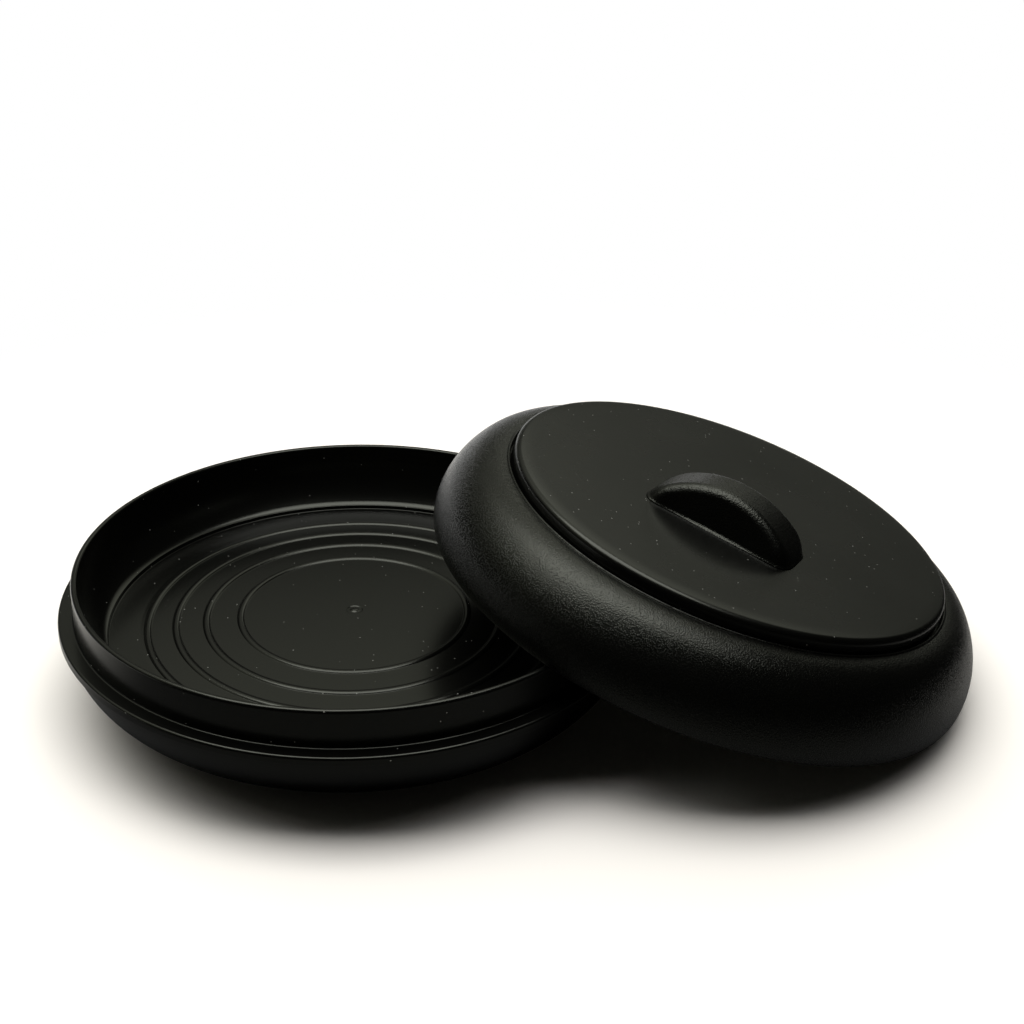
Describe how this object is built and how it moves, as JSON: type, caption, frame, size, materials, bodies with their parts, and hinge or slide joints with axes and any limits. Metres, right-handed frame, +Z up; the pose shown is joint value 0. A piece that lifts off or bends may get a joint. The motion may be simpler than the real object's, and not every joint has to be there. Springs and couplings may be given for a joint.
{
  "type": "tortilla warmer",
  "caption": "Round double-walled tortilla warmer: shallow bowl with a ribbed tub and ledge, and a bulging lid with a raised flat top plate and a half-moon grip, leaning on the bowl's rim.",
  "frame": {"origin": "centre of the bowl's flat foot, on the table", "axes": "+Z up out of the bowl; +X from the bowl towards the lid that leans on its rim"},
  "size_m": [0.4396, 0.2906, 0.1165],
  "materials": {
    "base_outer": "satin black moulded plastic",
    "base_inner": "satin black moulded plastic",
    "lid_outer": "black plastic with a fine leather grain",
    "lid_plate": "smooth satin black plastic",
    "grip": "black plastic with a fine leather grain",
    "lid_lining": "satin black moulded plastic",
    "screw": "zinc-plated steel"
  },
  "bodies": {
    "base": {"base_shell": "base_outer", "base_liner": "base_inner"},
    "lid": {"lid_shell": "lid_outer", "lid_liner": "lid_lining", "lid_cap": "lid_plate", "lid_handle": "grip", "handle_screw_1": "screw", "handle_screw_2": "screw"}
  },
  "joints": [
    {"name": "lid_lift", "type": "slide", "parent": "base", "child": "lid", "axis": [0, 0, 1], "range_m": [0, 0.12]}
  ]
}
